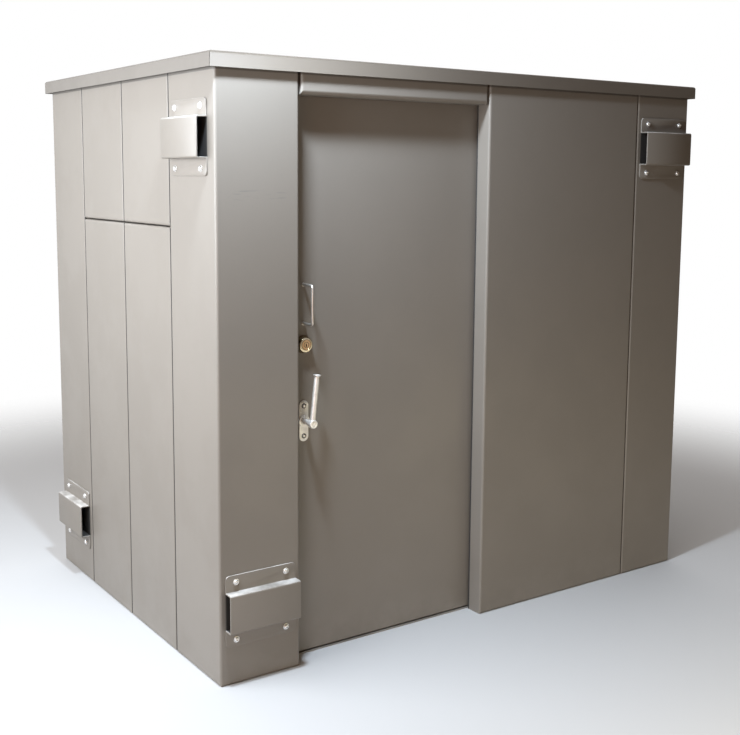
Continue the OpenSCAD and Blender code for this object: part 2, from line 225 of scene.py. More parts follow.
lampLooks = {
    "cornerLamp": {"place": (-1.16, -1.06, 2.58), "aim": (-0.9, -0.7, 1.65),
                   "size": (0.20, 0.14), "power": 66, "color": (0.72, 0.85, 1.0), "spares": "roof_cap"},
    "shadeFill": {"place": (-0.75, -1.50, 1.78), "aim": (-0.6, -0.65, 1.85),
                  "size": (0.4, 0.2), "power": 0.9, "color": (1.0, 0.94, 0.86), "spares": "roof_cap"},
    "rimLamp": {"place": (-0.92, -1.40, 1.94), "aim": (-0.90, -0.73, 1.93),
                "size": (0.30, 0.04), "power": 17, "color": (0.84, 0.92, 1.0), "lights": "roof_cap"},
    "leftSoft": {"place": (-2.7, -0.25, 1.75), "aim": (-1.05, -0.2, 1.6),
                 "size": (2.4, 0.9), "power": 91, "color": (0.87, 0.93, 1.0)},
    "frontSoft": {"place": (-3.2, -3.2, 1.1), "aim": (-0.2, -0.7, 0.3),
                  "size": (1.8, 1.2), "power": 15.5, "color": (1.0, 0.48, 0.22)},
    "sideFill": {"place": (-3.6, -1.6, 1.9), "aim": (0.0, -0.7, 1.3),
                 "size": (0.9, 0.9), "power": 5.5, "color": (0.80, 0.95, 1.0)},
    "floorGlow": {"place": (0.3, -2.3, 0.26), "aim": (0.3, -0.7, 0.26),
                  "size": (3.0, 0.4), "power": 7.0, "color": (1.0, 0.88, 0.58)},
    "topSoft": {"place": (0.3, 0.3, 4.6), "aim": (0.3, 0.3, 1.9),
                "size": (3.5, 3.0), "power": 45, "color": (1.0, 0.93, 0.86)},
}


def addCamera(look):
    turn, tilt, roll = (math.radians(look[k]) for k in ("turn", "tilt", "roll"))
    ahead = Vector((math.sin(turn) * math.cos(tilt), math.cos(turn) * math.cos(tilt), math.sin(tilt)))
    level = Vector((math.cos(turn), -math.sin(turn), 0))
    above = level.cross(ahead)
    right = math.cos(roll) * level + math.sin(roll) * above
    up = math.cos(roll) * above - math.sin(roll) * level
    data = bpy.data.cameras.new("camera")
    data.lens = look["lens"]
    data.sensor_width = 36
    data.shift_x = look["shiftX"]
    data.shift_y = look["shiftY"]
    camera = addObject("camera", data)
    camera.matrix_world = Matrix((
        (right.x, up.x, -ahead.x, look["place"][0]),
        (right.y, up.y, -ahead.y, look["place"][1]),
        (right.z, up.z, -ahead.z, look["place"][2]),
        (0, 0, 0, 1)))
    bpy.context.scene.camera = camera


def addNode(tree, kind, inputs={}, **values):
    # each input is a socket to link from, or a plain value
    node = tree.nodes.new(kind)
    for key, value in values.items():
        setattr(node, key, value)
    for label, value in inputs.items():
        if isinstance(value, bpy.types.NodeSocket):
            tree.links.new(value, node.inputs[label])
        else:
            node.inputs[label].default_value = value
    return node


def rangeValue(tree, value, low, high, toLow=0.0, toHigh=1.0):
    inputs = {"Value": value, "From Min": low, "From Max": high, "To Min": toLow, "To Max": toHigh}
    return addNode(tree, "ShaderNodeMapRange", inputs, interpolation_type="SMOOTHSTEP").outputs["Result"]


def tintColor(tree, mask, first, second):
    inputs = {"Factor": mask, "A": first, "B": second}
    return addNode(tree, "ShaderNodeMix", inputs, data_type="RGBA").outputs["Result"]


def startMaterial(name):
    material = bpy.data.materials.new(name)
    material.use_nodes = True
    tree = material.node_tree
    return material, tree, tree.nodes["Principled BSDF"]


def objectPlace(tree):
    return addNode(tree, "ShaderNodeTexCoord").outputs["Object"]


def addStudio(look):
    clearSelection()
    bpy.ops.mesh.primitive_circle_add(vertices=96, radius=look["floorSize"] / 2, fill_type="NGON")
    floor = bpy.context.object
    floor.name = "studioFloor"
    material, tree, shader = startMaterial("paleFloor")
    shader.inputs["Base Color"].default_value = look["floorColor"]
    shader.inputs["Roughness"].default_value = look["floorRough"]
    shader.inputs["Specular IOR Level"].default_value = look["floorShine"]
    length = addNode(tree, "ShaderNodeVectorMath", {0: objectPlace(tree)}, operation="LENGTH")
    fade = rangeValue(tree, length.outputs["Value"], look["fadeFrom"], look["fadeTo"])
    clear = addNode(tree, "ShaderNodeBsdfTransparent")
    mix = addNode(tree, "ShaderNodeMixShader", {
        0: fade, 1: shader.outputs["BSDF"], 2: clear.outputs["BSDF"]})
    tree.links.new(mix.outputs["Shader"], tree.nodes["Material Output"].inputs["Surface"])
    floor.data.materials.append(material)

    world = bpy.data.worlds.new("studioWorld")
    bpy.context.scene.world = world
    world.use_nodes = True
    tree = world.node_tree
    ways = addNode(tree, "ShaderNodeTexCoord").outputs["Generated"]
    side = addNode(tree, "ShaderNodeVectorMath", {0: ways, 1: look["brightSide"]}, operation="DOT_PRODUCT")
    spread = rangeValue(tree, side.outputs["Value"], look["dimEdge"], look["brightEdge"])
    halves = tintColor(tree, spread, look["dimColor"], look["brightColor"])
    # the lens sees a white backdrop, and the walls see the bright and dim halves
    seen = addNode(tree, "ShaderNodeLightPath").outputs["Is Camera Ray"]
    color = tintColor(tree, seen, halves, look["backdrop"])
    tree.links.new(color, tree.nodes["Background"].inputs["Color"])


def addLamp(name, look):
    data = bpy.data.lights.new(name, "AREA")
    data.shape = "RECTANGLE"
    data.size, data.size_y = look["size"]
    data.energy = look["power"]
    data.color = look["color"]
    lamp = addObject(name, data)
    lamp.location = look["place"]
    lamp.rotation_mode = "QUATERNION"
    lamp.rotation_quaternion = (Vector(look["aim"]) - Vector(look["place"])).to_track_quat("-Z", "Y")
    lamp.visible_camera = False
    for key, state in (("spares", "EXCLUDE"), ("lights", "INCLUDE")):
        if key in look:      # the lamps close to the roof, two for the walls and one for the rim
            chosen = bpy.data.collections.new(name + "Chosen")
            lamp.light_linking.receiver_collection = chosen
            chosen.objects.link(cadNodes[look[key]])
            chosen.collection_objects[0].light_linking.link_state = state


addCamera(cameraLook)
addStudio(studioLook)
for name, look in lampLooks.items():
    addLamp(name, look)
bpy.context.scene.view_settings.view_transform = "Standard"
print("camera, floor and lamps are set")

# shared surface effects


def startGroup(name, inputs, outputs):
    group = bpy.data.node_groups.new(name, "ShaderNodeTree")
    for label, value in inputs.items():
        kind = "NodeSocketVector" if isinstance(value, tuple) else "NodeSocketFloat"
        socket = group.interface.new_socket(label, in_out="INPUT", socket_type=kind)
        socket.default_value = value
    for label in outputs:
        group.interface.new_socket(label, in_out="OUTPUT", socket_type="NodeSocketFloat")
    return group, addNode(group, "NodeGroupInput"), addNode(group, "NodeGroupOutput")


def math2(tree, operation, first, second=None):
    # a Math node from one or two sockets or numbers
    inputs = {0: first} if second is None else {0: first, 1: second}
    return addNode(tree, "ShaderNodeMath", inputs, operation=operation).outputs[0]


def times(tree, first, second):
    return math2(tree, "MULTIPLY", first, second)


def most(tree, first, second):
    return math2(tree, "MAXIMUM", first, second)


def isOver(tree, value, limit):
    return math2(tree, "GREATER_THAN", value, limit)


def isUnder(tree, value, limit):
    return math2(tree, "LESS_THAN", value, limit)


def splitVector(tree, vector):
    node = addNode(tree, "ShaderNodeSeparateXYZ", {0: vector})
    return [node.outputs[axis] for axis in "XYZ"]


def realNormal(tree):
    return addNode(tree, "ShaderNodeNewGeometry").outputs["Normal"]


def noiseValue(tree, vector, scale, detail, roughness):
    inputs = {"Vector": vector, "Scale": scale, "Detail": detail, "Roughness": roughness}
    return addNode(tree, "ShaderNodeTexNoise", inputs).outputs["Fac"]


coatGrain = {
    "grain": (700.0, 2.0, 0.55),     # scale, detail and roughness of each noise
    "wave": (2.2, 1.0, 0.4),
    "tone": (3.0, 4.0, 0.55),
    "speck": (260.0, 2.0, 0.6),
    "grainHeight": 0.10,     # share of the height from the fine grain
    "waveHeight": 2.0,       # and from the slow waves of the sheet
    "toneRange": (0.35, 0.65),
    "speckRange": (0.62, 0.74),
}


def coatGrainGroup(look):
    # the fine skin of a powder coat, with slow changes in tone
    scales = {"Grain Scale": look["grain"][0], "Wave Scale": look["wave"][0], "Tone Scale": look["tone"][0]}
    group, into, out = startGroup("coatGrain", scales, ("Height", "Tone", "Speck"))
    place = objectPlace(group)
    grain = noiseValue(group, place, into.outputs["Grain Scale"], *look["grain"][1:])
    wave = noiseValue(group, place, into.outputs["Wave Scale"], *look["wave"][1:])
    height = math2(group, "ADD", times(group, grain, look["grainHeight"]),
                   times(group, wave, look["waveHeight"]))
    tone = noiseValue(group, place, into.outputs["Tone Scale"], *look["tone"][1:])
    speck = noiseValue(group, place, *look["speck"])
    group.links.new(height, out.inputs["Height"])
    group.links.new(rangeValue(group, tone, *look["toneRange"]), out.inputs["Tone"])
    group.links.new(rangeValue(group, speck, *look["speckRange"]), out.inputs["Speck"])
    return group


edgeWearAndHighlight = {
    "width": 0.002,
    "patch": (40.0, 4.0, 0.55),
    "patchRange": (0.30, 0.52),
    "leastPatch": 0.25,
    "turnRange": (0.97, 0.80),     # how far the rounded normal has turned from the real one
}


def edgeWearAndHighlightGroup(look):
    # rubbed edges, and a painted highlight along them, found where a rounded normal leaves the real one
    group, into, out = startGroup(
        "edgeWearAndHighlight", {"Width": look["width"], "Breakup": look["patch"][0]}, ("Mask",))
    bevel = addNode(group, "ShaderNodeBevel", {"Radius": into.outputs["Width"]}, samples=4)
    normals = {0: bevel.outputs["Normal"], 1: realNormal(group)}
    facing = addNode(group, "ShaderNodeVectorMath", normals, operation="DOT_PRODUCT")
    patch = noiseValue(group, objectPlace(group), into.outputs["Breakup"], *look["patch"][1:])
    patch = rangeValue(group, patch, *look["patchRange"], look["leastPatch"], 1.0)
    edge = rangeValue(group, facing.outputs["Value"], *look["turnRange"])
    group.links.new(times(group, edge, patch), out.inputs["Mask"])
    return group


settledDustAndTopLight = {
    "top": 0.5,
    "splash": 0.3,
    "splashHeight": 0.16,
    "cloud": (9.0, 6.0, 0.62),
    "topRange": (0.3, 0.72),
    "splashRange": (0.38, 0.66),
    "levelRange": (0.40, 0.75),     # how level a face is before dust lies on it
}


def settledDustAndTopLightGroup(look):
    # dust that lies on top faces, and splashes low on the walls; where a material asks for much of it, as the vent
    # covers do, it is painted light on the top faces
    amounts = {"Top": look["top"], "Splash": look["splash"], "Splash Height": look["splashHeight"]}
    group, into, out = startGroup("settledDustAndTopLight", amounts, ("Mask",))
    place = objectPlace(group)
    height = splitVector(group, place)[2]
    level = rangeValue(group, splitVector(group, realNormal(group))[2], *look["levelRange"])
    cloud = noiseValue(group, place, *look["cloud"])
    patches = rangeValue(group, cloud, *look["topRange"])
    top = times(group, level, times(group, patches, into.outputs["Top"]))
    low = rangeValue(group, height, into.outputs["Splash Height"], 0.0)
    spots = rangeValue(group, cloud, *look["splashRange"])
    splash = times(group, into.outputs["Splash"], times(group, low, spots))
    group.links.new(most(group, top, splash), out.inputs["Mask"])
    return group


scuffMarks = {
    "band": (1.53, 0.02),     # middle and half height
    "acrossX": (-1.03, -0.77),
    "streak": (1.0, 1.0, 0.4),
    "stretch": (14.0, 1.0, 190.0),
    "shift": (0.4, 0.0, 0.15),
    "streakRange": (0.60, 0.70),
    "bandRange": (1.0, 0.7),
}


def scuffMarksGroup(look):
    # short level rubs inside one band of the wall
    limits = {"Band Middle": look["band"][0], "Band Half": look["band"][1],
              "From X": look["acrossX"][0], "To X": look["acrossX"][1]}
    group, into, out = startGroup("scuffMarks", limits, ("Mask",))
    place = objectPlace(group)
    x, _, z = splitVector(group, place)
    squeeze = addNode(group, "ShaderNodeMapping", {
        "Scale": look["stretch"], "Location": look["shift"], "Vector": place})
    streak = noiseValue(group, squeeze.outputs["Vector"], *look["streak"])
    streak = rangeValue(group, streak, *look["streakRange"])
    away = math2(group, "ABSOLUTE", math2(group, "SUBTRACT", z, into.outputs["Band Middle"]))
    band = rangeValue(group, math2(group, "DIVIDE", away, into.outputs["Band Half"]), *look["bandRange"])
    inside = times(group, isOver(group, x, into.outputs["From X"]), isUnder(group, x, into.outputs["To X"]))
    group.links.new(times(group, times(group, streak, band), inside), out.inputs["Mask"])
    return group


def seamSpots():
    # where two panels meet, on the side walls, the front and the rear
    sides = [corner.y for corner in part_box("left_lower_front")] + [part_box("left_lower_rear")[1].y]
    rear = [corner.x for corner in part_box("rear_panel_left")] + [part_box("rear_panel_right")[1].x]
    return sides, [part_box("front_panel")[1].x], rear


def nearAny(tree, value, spots):
    near = None
    for spot in spots:
        away = math2(tree, "ABSOLUTE", math2(tree, "SUBTRACT", value, spot))
        near = away if near is None else math2(tree, "MINIMUM", near, away)
    return near


jointShade = {
    "halfWidth": 0.0042,
    "topLine": 0.0052,
    "topAmount": 0.5,
    "doorLine": 0.006,
    "wallReach": 0.009,      # how far in from the face of a wall its joints are dark
    "tipPast": 0.001,
    "besideDoor": 0.004,
    "softFrom": 0.6,
    "shares": (1.0, 0.5, 0.7),     # of the half width, on the sides, the front and the rear
}


def jointShadeGroup(look):
    # painted shade: the dark line between two folded panels, where the walls meet the roof, and round the door
    group, into, out = startGroup("jointShade", {
        "Half Width": look["halfWidth"], "Top Line": look["topLine"], "Top Amount": look["topAmount"],
        "Door Line": look["doorLine"]}, ("Mask",))
    x, y, z = splitVector(group, objectPlace(group))
    sideX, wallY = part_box("left_lower_front")[0].x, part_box("front_panel")[0].y
    sides, front, rear = seamSpots()
    reach = look["wallReach"]
    onSide = isOver(group, math2(group, "ABSOLUTE", x), abs(sideX) - reach)
    onFront = isUnder(group, y, wallY + reach)
    onRear = isOver(group, y, -wallY - reach)
    # painted shadow along the top of the walls, just under the roof rim
    top = math2(group, "SUBTRACT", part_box("roof_cap")[0].z, into.outputs["Top Line"])
    mask = times(group, isOver(group, z, top), into.outputs["Top Amount"])
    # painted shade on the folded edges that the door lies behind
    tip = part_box("door_header")[1].y
    deep = isOver(group, y, math2(group, "SUBTRACT", tip, into.outputs["Door Line"]))
    near = isUnder(group, y, tip + look["tipPast"])
    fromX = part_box("corner_front_left")[1].x - look["besideDoor"]
    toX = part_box("front_panel")[0].x + look["besideDoor"]
    beside = times(group, isOver(group, x, fromX), isUnder(group, x, toX))
    mask = most(group, mask, times(group, times(group, deep, near), beside))
    # painted shade in the seams between the folded panels
    places = ((onSide, y, sides), (onFront, x, front), (onRear, x, rear))
    for (here, value, spots), share in zip(places, look["shares"]):
        half = times(group, into.outputs["Half Width"], share)
        ratio = math2(group, "DIVIDE", nearAny(group, value, spots), half)
        mask = most(group, mask, times(group, here, rangeValue(group, ratio, 1.0, look["softFrom"])))
    group.links.new(mask, out.inputs["Mask"])
    return group


coverThroat = {
    "depth": 0.036,      # inside the box of a cover, measured out from the wall
    "halfHeight": 0.061,
    "halfWidth": 0.127,
    "soft": 0.007,
}


def throatShadeGroup(look):
    # painted shade: the dark inside of the vent covers, and of the wall behind them
    group, into, out = startGroup("throatShade", {"Amount": 1.0}, ("Mask",))
    x, y, z = splitVector(group, objectPlace(group))
    walls = {"front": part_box("front_panel")[0].y, "rear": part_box("rear_panel_left")[1].y,
             "left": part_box("left_lower_front")[0].x, "right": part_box("right_lower_front")[1].x}
    mask = None
    for side, wall in walls.items():
        upright, across = (y, x) if side in ("front", "rear") else (x, y)
        away = nearAny(group, upright, [wall])
        covered = None
        for level in ("low", "high"):
            low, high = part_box(f"vent_{side}_{level}")
            middle = (low + high) / 2
            along = nearAny(group, across, [middle.x if across is x else middle.y])
            tall = isUnder(group, nearAny(group, z, [middle.z]), look["halfHeight"])
            ends = rangeValue(group, along, look["halfWidth"], look["halfWidth"] - look["soft"])
            spot = times(group, tall, ends)
            covered = spot if covered is None else most(group, covered, spot)
        here = times(group, isUnder(group, away, look["depth"]), covered)
        mask = here if mask is None else most(group, mask, here)
    group.links.new(times(group, mask, into.outputs["Amount"]), out.inputs["Mask"])
    return group


undersideShade = {"fromHeight": 1.88, "downRange": (-0.5, -0.8)}


def undersideShadeGroup(look):
    # painted shade on faces that look down, just under the roof
    group, into, out = startGroup("undersideShade", {"From Height": look["fromHeight"]}, ("Mask",))
    down = rangeValue(group, splitVector(group, realNormal(group))[2], *look["downRange"])
    high = isOver(group, splitVector(group, objectPlace(group))[2], into.outputs["From Height"])
    group.links.new(times(group, down, high), out.inputs["Mask"])
    return group


metalGrain = {"stretch": (900.0, 900.0, 30.0), "lines": (1.0, 3.0, 0.55),
              "stain": (60.0, 5.0, 0.65), "stainRange": (0.42, 0.68)}


def metalGrainGroup(look):
    # fine lines left by brushing, along the axis with the smallest stretch
    group, into, out = startGroup(
        "metalGrain", {"Stretch": look["stretch"], "Stain Scale": look["stain"][0]}, ("Height", "Stain"))
    place = objectPlace(group)
    places = {0: place, 1: into.outputs["Stretch"]}
    scaled = addNode(group, "ShaderNodeVectorMath", places, operation="MULTIPLY")
    lines = noiseValue(group, scaled.outputs["Vector"], *look["lines"])
    stain = noiseValue(group, place, into.outputs["Stain Scale"], *look["stain"][1:])
    stain = rangeValue(group, stain, *look["stainRange"])
    group.links.new(lines, out.inputs["Height"])
    group.links.new(stain, out.inputs["Stain"])
    return group


turnedFace = {
    "ringFrom": 0.0180,      # the bright outer ring of the lock
    "grooves": (0.0172, 0.0088),
    "grooveHalf": 0.0009,
    "grooveSoft": 0.5,
    "faceDepth": 0.0030,     # how far behind the face the ring colour reaches
    "keyDepth": 0.0007,
    "ringColor": (0.90, 0.80, 0.60, 1),
    # painted shade in the turned grooves and the keyhole
    "grooveShadeColor": (0.05, 0.032, 0.016, 1),
}


def turnedFaceGroup(look):
    # the rings turned into the face of the lock; painted shade in its grooves and in its keyhole
    group, into, out = startGroup("turnedFace", {"Ring From": look["ringFrom"]}, ("Ring", "GrooveAndKeyShade"))
    low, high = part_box("lock_cylinder")
    middle = (low + high) / 2
    places = {0: objectPlace(group), 1: (middle.x, low.y, middle.z)}
    away = addNode(group, "ShaderNodeVectorMath", places, operation="SUBTRACT")
    x, y, z = splitVector(group, away.outputs[0])
    flat = addNode(group, "ShaderNodeCombineXYZ", {"X": x, "Z": z})
    length = addNode(group, "ShaderNodeVectorMath", {0: flat.outputs[0]}, operation="LENGTH")
    radius = length.outputs["Value"]
    onFace = isUnder(group, y, look["faceDepth"])
    ring = isOver(group, radius, into.outputs["Ring From"])
    near = nearAny(group, radius, look["grooves"])
    groove = rangeValue(group, near, look["grooveHalf"], look["grooveHalf"] * look["grooveSoft"])
    inPlug = isUnder(group, radius, look["grooves"][1] - look["grooveHalf"])
    inKey = times(group, inPlug, isOver(group, y, look["keyDepth"]))
    group.links.new(times(group, ring, onFace), out.inputs["Ring"])
    group.links.new(most(group, times(group, groove, onFace), inKey), out.inputs["GrooveAndKeyShade"])
    return group


groups = {
    "grain": coatGrainGroup(coatGrain),
    "wearAndHighlight": edgeWearAndHighlightGroup(edgeWearAndHighlight),
    "dustAndTopLight": settledDustAndTopLightGroup(settledDustAndTopLight),
    "scuff": scuffMarksGroup(scuffMarks),
    "metal": metalGrainGroup(metalGrain),
    "joint": jointShadeGroup(jointShade),
    "throat": throatShadeGroup(coverThroat),
    "undersideShade": undersideShadeGroup(undersideShade),
    "turned": turnedFaceGroup(turnedFace),
}

# materials

paintLooks = {
    "wallPaint": {"color": (0.206, 0.182, 0.155), "shade": (0.197, 0.174, 0.148), "rough": (0.42, 0.50),
                  "dustAndTopLight": (0.35, 0.10), "joint": True, "throat": True},
    "sidePaint": {"color": (0.208, 0.184, 0.157), "shade": (0.199, 0.176, 0.150), "rough": (0.42, 0.50),
                  "dustAndTopLight": (0.35, 0.10), "joint": True, "throat": True},
    "roofPaint": {"color": (0.170, 0.152, 0.131), "shade": (0.162, 0.144, 0.124), "rough": (0.42, 0.52),
                  "dustAndTopLight": (0.16, 0.0), "undersideShade": True},
    # on the covers the heavy pale dust is mostly painted light on their top faces
    "coverPaint": {"color": (0.206, 0.182, 0.155), "shade": (0.195, 0.172, 0.146), "rough": (0.40, 0.48),
                   "dustAndTopLight": (0.95, 0.05), "dustAndTopLightColor": (0.62, 0.59, 0.55, 1), "wearAndHighlight": 0.0013,
                   "throat": True},
    "doorPaint": {"color": (0.206, 0.182, 0.156), "shade": (0.197, 0.174, 0.149), "rough": (0.40, 0.48),
                  "dustAndTopLight": (0.2, 0.15)},
    "framePaint": {"color": (0.188, 0.168, 0.146), "shade": (0.168, 0.150, 0.130), "rough": (0.46, 0.56),
                   "dustAndTopLight": (0.4, 0.25), "wearAndHighlight": 0.002},
}
paintLooks["cornerPaint"] = {**paintLooks["wallPaint"], "scuffed": True}
paintExtras = {
    "dustAndTopLightColor": (0.40, 0.375, 0.34, 1),
    "wearAndHighlightColor": (0.42, 0.41, 0.39, 1),
    "speckColor": (0.15, 0.14, 0.125, 1),
    "scuffColor": (0.125, 0.12, 0.11, 1),
    "paintedShadeColor": (0.016, 0.015, 0.014, 1),
    "speckAmount": 0.25,
    "scuffAmount": 0.45,
    "wearAndHighlightAmount": 0.7,
    "paintedShadeAmount": 0.94,
    "dustRough": 0.35,
    "paintedShadeRough": 0.4,
    "bumpStrength": 0.5,
    "bumpDepth": 0.0006,
}


def useGroup(tree, key, **values):
    return addNode(tree, "ShaderNodeGroup", values, node_tree=groups[key])


def finishMaterial(tree, shader, color, rough, height, strength, distance):
    bump = addNode(tree, "ShaderNodeBump", {"Strength": strength, "Distance": distance, "Height": height})
    for label, value in (("Base Color", color), ("Roughness", rough), ("Normal", bump.outputs["Normal"])):
        tree.links.new(value, shader.inputs[label])


def makePaint(name, look):
    material, tree, shader = startMaterial(name)
    extras = paintExtras
    grain = useGroup(tree, "grain")
    dustAndTopLight = useGroup(tree, "dustAndTopLight", Top=look["dustAndTopLight"][0], Splash=look["dustAndTopLight"][1])
    color = tintColor(tree, grain.outputs["Tone"], (*look["color"], 1), (*look["shade"], 1))
    speck = times(tree, grain.outputs["Speck"], extras["speckAmount"])
    color = tintColor(tree, speck, color, extras["speckColor"])
    if "scuffed" in look:
        scuff = times(tree, useGroup(tree, "scuff").outputs["Mask"], extras["scuffAmount"])
        color = tintColor(tree, scuff, color, extras["scuffColor"])
    # rubbed edges: partly real wear, partly a painted highlight along the edges
    if "wearAndHighlight" in look:
        wearAndHighlight = useGroup(tree, "wearAndHighlight", Width=look["wearAndHighlight"])
        wearAndHighlight = times(tree, wearAndHighlight.outputs["Mask"], extras["wearAndHighlightAmount"])
        color = tintColor(tree, wearAndHighlight, color, extras["wearAndHighlightColor"])
    # dust, and on the vent covers painted light on their top faces
    color = tintColor(tree, dustAndTopLight.outputs["Mask"], color, look.get("dustAndTopLightColor", extras["dustAndTopLightColor"]))
    rough = rangeValue(tree, grain.outputs["Tone"], 0.0, 1.0, look["rough"][0], look["rough"][1])
    rough = math2(tree, "ADD", rough, times(tree, dustAndTopLight.outputs["Mask"], extras["dustRough"]))
    # painted shade in the joints, inside the vent covers and on faces under the roof
    for key in ("joint", "throat", "undersideShade"):
        if key in look:
            dark = useGroup(tree, key).outputs["Mask"]
            amount = times(tree, dark, extras["paintedShadeAmount"])
            color = tintColor(tree, amount, color, extras["paintedShadeColor"])
            rough = math2(tree, "ADD", rough, times(tree, dark, extras["paintedShadeRough"]))
    finishMaterial(tree, shader, color, rough, grain.outputs["Height"],
                   extras["bumpStrength"], extras["bumpDepth"])
    return material


metalLooks = {
    "hingeSteel": {"color": (0.34, 0.33, 0.32), "stain": (0.24, 0.23, 0.22), "rough": (0.38, 0.50),
                   "stretch": (60.0, 900.0, 900.0), "bumpDepth": 0.00003, "metal": 1.0},
    "handleSteel": {"color": (0.66, 0.63, 0.58), "stain": (0.60, 0.57, 0.52), "rough": (0.34, 0.44),
                    "stretch": (600.0, 600.0, 40.0), "metal": 0.85},
    "satinNickel": {"color": (0.86, 0.83, 0.78), "stain": (0.76, 0.73, 0.67), "rough": (0.34, 0.44),
                    "stretch": (600.0, 600.0, 40.0), "metal": 0.55},
    "lockBrass": {"color": (0.84, 0.58, 0.34), "stain": (0.74, 0.48, 0.26), "rough": (0.30, 0.42),
                  "stretch": (300.0, 300.0, 300.0), "metal": 0.60, "turned": True},
    "collarBrass": {"color": (0.40, 0.33, 0.22), "stain": (0.32, 0.26, 0.16), "rough": (0.20, 0.28),
                    "stretch": (300.0, 300.0, 300.0), "metal": 1.0, "turned": True},
    "boltZinc": {"color": (0.86, 0.85, 0.83), "stain": (0.70, 0.69, 0.66), "rough": (0.24, 0.36),
                 "stretch": (400.0, 400.0, 400.0), "metal": 0.80},
    # painted shade: a near-black finish for the cups round the plate screws
    "screwCupShade": {"color": (0.060, 0.052, 0.045), "stain": (0.040, 0.035, 0.030), "rough": (0.50, 0.60),
                 "stretch": (400.0, 400.0, 400.0), "metal": 0.3},
}
metalExtras = {"bumpStrength": 0.6, "bumpDepth": 0.00001}


def makeMetal(name, look):
    material, tree, shader = startMaterial(name)
    shader.inputs["Metallic"].default_value = look["metal"]
    grain = useGroup(tree, "metal", Stretch=look["stretch"])
    color = tintColor(tree, grain.outputs["Stain"], (*look["color"], 1), (*look["stain"], 1))
    if "turned" in look:
        turned = useGroup(tree, "turned")
        color = tintColor(tree, turned.outputs["Ring"], color, turnedFace["ringColor"])
        # painted shade in the grooves and the keyhole
        color = tintColor(tree, turned.outputs["GrooveAndKeyShade"], color, turnedFace["grooveShadeColor"])
    rough = rangeValue(tree, grain.outputs["Stain"], 0.0, 1.0, look["rough"][0], look["rough"][1])
    finishMaterial(tree, shader, color, rough, grain.outputs["Height"],
                   metalExtras["bumpStrength"], look.get("bumpDepth", metalExtras["bumpDepth"]))
    return material


materials = {name: makePaint(name, look) for name, look in paintLooks.items()}
materials.update({name: makeMetal(name, look) for name, look in metalLooks.items()})
print("materials made:", len(materials))

slotMaterials = {
    "wall_paint": "wallPaint", "side_paint": "sidePaint", "roof_paint": "roofPaint",
    "cover_paint": "coverPaint", "door_paint": "doorPaint", "frame_paint": "framePaint",
    "hinge_steel": "hingeSteel", "handle_steel": "handleSteel",
    "satin_nickel": "satinNickel", "lock_brass": "lockBrass",
}
nodeSlots = {part["node"]: part["material_slot"] for part in frame["record"]["subparts"]}
bodyNodes = frame["record"]["behaviour"]["bodies"]
nodeBodies = {node: body for body, names in bodyNodes.items() for node in names}
for node, cad in cadNodes.items():
    cad.data.materials.clear()
    cad.data.materials.append(materials[slotMaterials[nodeSlots[node]]])
cadNodes["corner_front_left"].data.materials[0] = materials["cornerPaint"]
print("CAD nodes painted")

# copies of small CAD nodes with their cut edges rounded


def softenNode(node, name, width):
    source = cadNodes[node]
    piece = copyPiece(source, name)
    startEditing(piece)
    pick("VERT", lambda v: True)
    bpy.ops.mesh.remove_doubles(threshold=mergeGap)
    bpy.ops.mesh.dissolve_limited(angle_limit=math.radians(2))
    stopEditing()
    roundEdges(piece, width, degrees=32)
    smooth(piece, 30)
    dress(piece, source.data.materials[0], nodeBodies[node])
    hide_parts(node)


softened = {"cover": 0.0008, "plate": 0.0010}
for node in sorted(cadNodes):
    if node.startswith("vent_"):
        softenNode(node, "cover." + node[5:], softened["cover"])
for node, name in (("lever_plate", "leverPlate"), ("inner_lever_plate", "leverPlateInside")):
    softenNode(node, name, softened["plate"])
print("covers and plates rounded")

# bolts of the vent covers

coverBolt = {
    "spacingAlong": 0.179,
    "spacingUp": 0.187,
    "flange": 0.0045,
    "sheet": 0.0035,
    "headRadius": 0.0088,
    "headHeight": 0.0055,
    "socket": 0.0030,
    "socketDepth": 0.0026,
    "washerRadius": 0.0103,
    "washerHeight": 0.0016,
    "nutRadius": 0.0098,
    "nutHeight": 0.0080,
    "threadRadius": 0.0050,
    "threadPast": 0.0045,
    "domeShare": 0.86,       # of the head's height that its rim is rounded by
    "turns": (17, 11),       # degrees that set the heads apart
    "washerEdge": 0.0004,
    "nutFace": (0.0016, 0.0007),
    "threadEdge": 0.0008,
}


def roundTop(piece, top, offset, segments):
    # rounds the rim of the highest face
    startEditing(piece)
    bevelEdges(lambda place: place.z > top - edgeSlack, offset, segments)
    stopEditing()


def makeWasher(look, base):
    washer = addDisc(look["washerRadius"], look["washerHeight"], base)
    roundEdges(washer, look["washerEdge"])
    return washer


def makeNut(look, top):
    nut = addDisc(look["nutRadius"], look["nutHeight"], top - look["nutHeight"], 6)
    startEditing(nut)
    insetFaces(lambda face: abs(face.normal.z) > levelFace, look["nutFace"])
    stopEditing()
    length = look["nutHeight"] + look["threadPast"]
    thread = addDisc(look["threadRadius"], length, top - length, 20)
    roundEdges(thread, look["threadEdge"], 1)
    return [nut, thread]


def finishBolt(look, outer, back, name):
    # a second washer and the nut, on the far side of the sheets
    seat = back - look["washerHeight"]
    bolt = joinPieces([*outer, makeWasher(look, seat), *makeNut(look, seat)], name)
    smooth(bolt, 32)
    return bolt


def makeCoverBolt(look):
    washer = makeWasher(look, 0)
    base = look["washerHeight"]
    height = look["headHeight"]
    head = addDisc(look["headRadius"], height, base)
    roundTop(head, base + height, height * look["domeShare"], 5)
    corner = look["socket"] / math.cos(math.pi / 6)
    cutAway(head, addDisc(corner, look["socketDepth"] * 2, base + height - look["socketDepth"], 6))
    return finishBolt(look, [washer, head], -look["flange"] - look["sheet"], "coverBolt")


